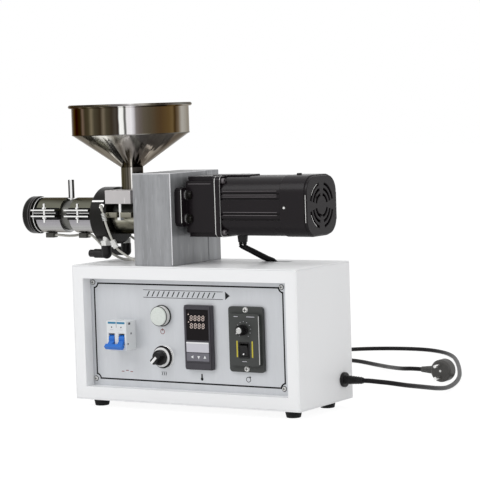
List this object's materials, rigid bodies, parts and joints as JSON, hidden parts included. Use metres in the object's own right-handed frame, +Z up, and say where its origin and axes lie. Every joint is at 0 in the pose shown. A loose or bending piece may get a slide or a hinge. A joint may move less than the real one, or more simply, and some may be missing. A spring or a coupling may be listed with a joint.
{
  "type": "benchtop single-screw filament extruder",
  "caption": "Benchtop single-screw filament extruder: white control cabinet carrying a motor, gearbox, heated barrel and steel hopper.",
  "frame": {"origin": "on the floor under the middle of the machine, without its mains lead", "axes": "+X along the screw from the die to the motor, +Y from the control panel to the back, +Z up"},
  "size_m": [0.6175, 0.7782, 0.4595],
  "materials": {
    "white_paint": "satin",
    "brushed_panel": "brushed",
    "milled_aluminium": "satin",
    "polished_steel": "polished",
    "tool_steel": "satin",
    "chrome": "polished",
    "black_paint": "gloss",
    "black_oxide": "satin",
    "black_plastic": "satin",
    "grey_plastic": "matte",
    "white_plastic": "satin",
    "blue_plastic": "satin",
    "clear_lens": "gloss",
    "black_rubber": "matte",
    "black_sheath": "satin",
    "ceramic": "matte",
    "glass_sleeve": "matte"
  },
  "bodies": {
    "machine": {"base_plate": "white_paint", "deck_plate": "white_paint", "left_side": "white_paint", "right_side": "white_paint", "back_panel": "white_paint", "front_frame": "white_paint", "feet": "black_rubber", "control_panel": "brushed_panel", "breaker_body": "white_plastic", "lamp_bezel": "chrome", "lamp_lens": "clear_lens", "selector_bezel": "chrome", "temp_controller": "grey_plastic", "speed_plate": "grey_plastic", "gearbox_body": "milled_aluminium", "gearbox_rear": "milled_aluminium", "gearhead": "black_paint", "motor_bell": "black_paint", "motor_frame": "black_paint", "fan_cowl": "black_paint", "motor_gland": "black_plastic", "motor_leads": "black_sheath", "barrel": "tool_steel", "feed_screw": "tool_steel", "die_nut": "black_oxide", "die_plate": "tool_steel", "heater_front": "polished_steel", "heater_rear": "polished_steel", "heater_terminals": "ceramic", "probe_tube": "polished_steel", "cooling_jacket": "black_oxide", "coolant_collars": "chrome", "coolant_elbows": "black_plastic", "feed_block": "milled_aluminium", "feed_cradle": "polished_steel", "clamp_bolts": "chrome", "hopper_bowl": "polished_steel", "hopper_cone": "polished_steel", "hopper_neck": "polished_steel", "heater_leads": "glass_sleeve", "thermocouple_lead": "glass_sleeve", "mains_gland": "black_plastic", "mains_cord": "black_sheath", "mains_plug": "grey_plastic"},
    "breaker_toggle_body": {"breaker_toggle": "blue_plastic"},
    "selector_knob_body": {"selector_knob": "black_plastic"},
    "speed_knob_body": {"speed_knob": "black_plastic"},
    "speed_rocker_body": {"speed_rocker": "black_plastic"}
  },
  "joints": [
    {"name": "breaker_switch", "type": "hinge", "parent": "machine", "child": "breaker_toggle_body", "pos_m": [-0.05, -0.0775, 0.107], "axis": [-1, 0, 0], "range_deg": [0, 84]},
    {"name": "selector_turn", "type": "hinge", "parent": "machine", "child": "selector_knob_body", "pos_m": [0.017, -0.0635, 0.08], "axis": [0, 1, 0], "range_deg": [0, 90]},
    {"name": "speed_turn", "type": "hinge", "parent": "machine", "child": "speed_knob_body", "pos_m": [0.167, -0.0685, 0.127], "axis": [0, 1, 0], "range_deg": [0, 280]},
    {"name": "rocker_press", "type": "hinge", "parent": "machine", "child": "speed_rocker_body", "pos_m": [0.167, -0.0645, 0.097], "axis": [-1, 0, 0], "range_deg": [0, 16]}
  ]
}
